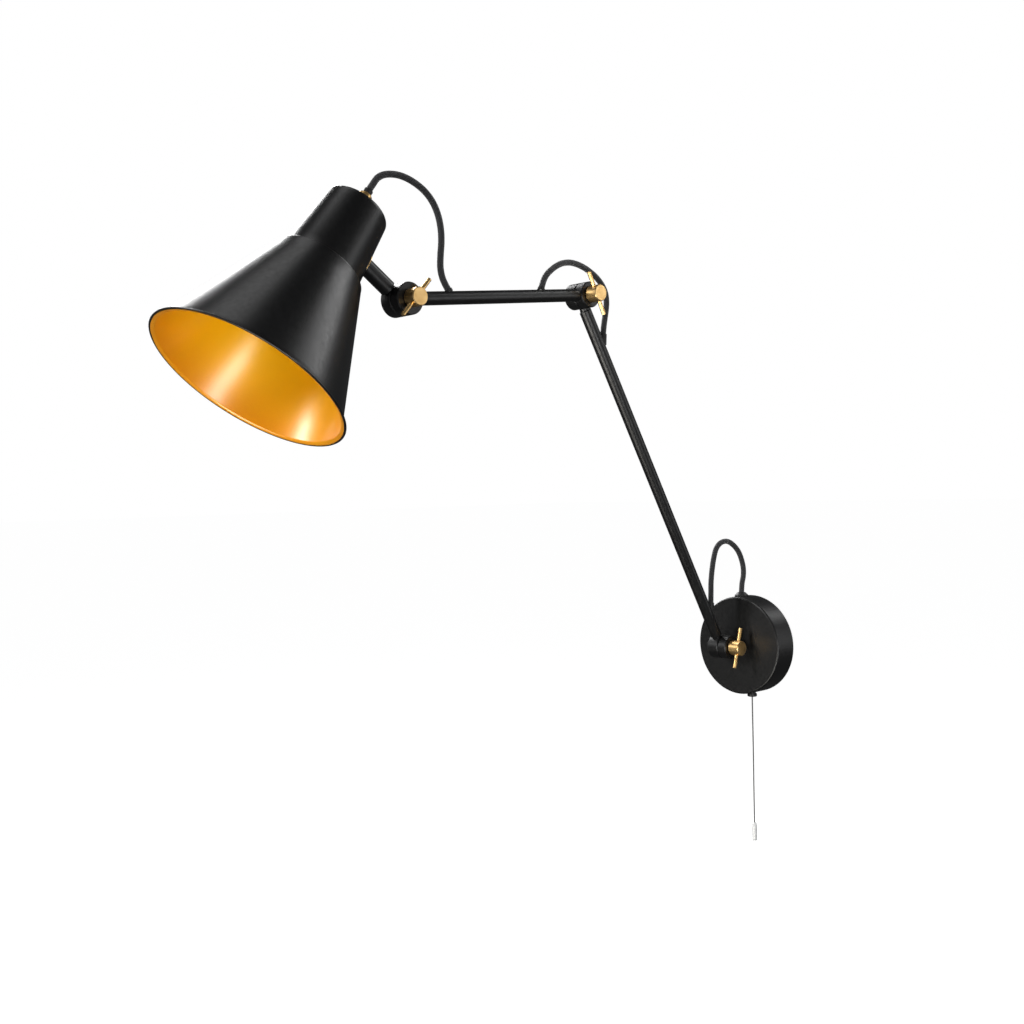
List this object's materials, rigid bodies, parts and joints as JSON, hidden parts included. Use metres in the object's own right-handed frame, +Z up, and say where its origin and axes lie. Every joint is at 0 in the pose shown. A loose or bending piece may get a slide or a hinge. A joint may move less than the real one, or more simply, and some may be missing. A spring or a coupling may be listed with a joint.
{
  "type": "swing arm wall sconce",
  "caption": "Black swing arm wall sconce with brass clamp knobs, a gold lined cone shade, looped braided flex and a pull cord switch.",
  "frame": {"origin": "centre of the wall box's back face, in the plane of the wall", "axes": "+X right seen from the room, +Y into the wall, +Z up; millimetres in the source, metres in the library"},
  "size_m": [0.17, 0.6908, 0.6658],
  "materials": {
    "powder_coat": "satin black powder coat",
    "shade_coat": "satin black powder coat outside, gold enamel inside",
    "satin_brass": "satin",
    "plated_steel": "zinc plated",
    "braided_flex": "woven black textile over rubber",
    "pull_cord": "thin braided cord",
    "black_rubber": "matte",
    "black_plastic": "matte",
    "white_plastic": "matte",
    "contact_ceramic": "matte",
    "clear_toggle": "translucent"
  },
  "bodies": {
    "wall_box": {"wall_plate": "plated_steel", "wall_cover": "powder_coat", "cover_screw": "powder_coat", "supply_grommet": "black_rubber", "terminal_block": "white_plastic", "terminal_screws": "satin_brass", "earth_stud": "plated_steel", "earth_nut": "satin_brass", "flex_gland": "black_plastic", "flex_in_box": "braided_flex", "stem_bush": "satin_brass", "stop_pins": "plated_steel", "switch_body": "black_plastic", "switch_nut": "black_plastic", "switch_spring": "plated_steel", "base_flex_loop_inner": "braided_flex"},
    "stem": {"base_stem": "powder_coat", "stem_tab_washer": "plated_steel", "stem_spring_washer": "plated_steel", "stem_nut": "plated_steel", "base_knuckle": "powder_coat"},
    "lower_arm": {"lower_arm_base_end": "powder_coat", "base_friction_washer": "black_plastic", "lower_arm_tube": "powder_coat", "lower_arm_sleeves": "black_rubber", "cores_in_lower_arm": "white_plastic", "lower_arm_elbow_end": "powder_coat", "elbow_friction_washer": "black_plastic", "base_flex_loop_outer": "braided_flex"},
    "upper_arm": {"upper_arm_elbow_end": "powder_coat", "upper_arm_tube": "powder_coat", "upper_arm_sleeves": "black_rubber", "cores_in_upper_arm": "white_plastic", "upper_arm_head_end": "powder_coat", "elbow_flex_loop": "braided_flex"},
    "head": {"head_friction_washer": "black_plastic", "head_knuckle": "powder_coat", "stub_tube": "powder_coat", "stub_saddle_washer": "satin_brass", "stub_lock_nut": "plated_steel", "shade_neck": "shade_coat", "shade_cone": "shade_coat", "lampholder": "black_plastic", "lampholder_ring": "black_plastic", "lampholder_contacts": "contact_ceramic", "holder_nipple": "plated_steel", "cord_grip": "satin_brass", "flex_relief": "black_rubber", "flex_in_head": "braided_flex", "head_flex_loop": "braided_flex"},
    "base_clamp": {"base_clamp_screw": "satin_brass", "base_tommy_bar": "satin_brass"},
    "elbow_clamp": {"elbow_clamp_screw": "satin_brass", "elbow_tommy_bar": "satin_brass"},
    "head_clamp": {"head_clamp_screw": "satin_brass", "head_tommy_bar": "satin_brass"},
    "pull_switch": {"switch_plunger": "white_plastic", "pull_cord": "pull_cord", "pull_toggle": "clear_toggle"}
  },
  "joints": [
    {"name": "base_swivel", "type": "hinge", "parent": "wall_box", "child": "stem", "pos_m": [0, -0.0275, 0], "axis": [0, 1, 0], "range_deg": [-45, 45], "deforming": ["base_flex_loop_inner"]},
    {"name": "base_tilt", "type": "hinge", "parent": "stem", "child": "lower_arm", "pos_m": [0, -0.045, 0], "axis": [1, 0, 0], "range_deg": [-20, 60], "deforming": ["base_flex_loop_outer"]},
    {"name": "elbow", "type": "hinge", "parent": "lower_arm", "child": "upper_arm", "pos_m": [0, -0.255, 0.36373], "axis": [1, 0, 0], "range_deg": [-60, 60], "deforming": ["elbow_flex_loop"]},
    {"name": "head_tilt", "type": "hinge", "parent": "upper_arm", "child": "head", "pos_m": [0, -0.4738, 0.34074], "axis": [1, 0, 0], "range_deg": [-50, 40], "deforming": ["head_flex_loop"]},
    {"name": "base_clamp_turn", "type": "hinge", "parent": "stem", "child": "base_clamp", "pos_m": [0.012, -0.045, 0], "axis": [1, 0, 0], "range_deg": [0, 60]},
    {"name": "elbow_clamp_turn", "type": "hinge", "parent": "lower_arm", "child": "elbow_clamp", "pos_m": [0.012, -0.255, 0.36373], "axis": [1, 0, 0], "range_deg": [0, 180]},
    {"name": "head_clamp_turn", "type": "hinge", "parent": "head", "child": "head_clamp", "pos_m": [0.012, -0.4738, 0.34074], "axis": [1, 0, 0], "range_deg": [0, 180]},
    {"name": "switch_pull", "type": "slide", "parent": "wall_box", "child": "pull_switch", "axis": [0, 0, -1], "range_m": [0, 0.006], "stiffness_N_per_m": 300, "springref_m": -0.004, "deforming": ["switch_spring"]}
  ]
}
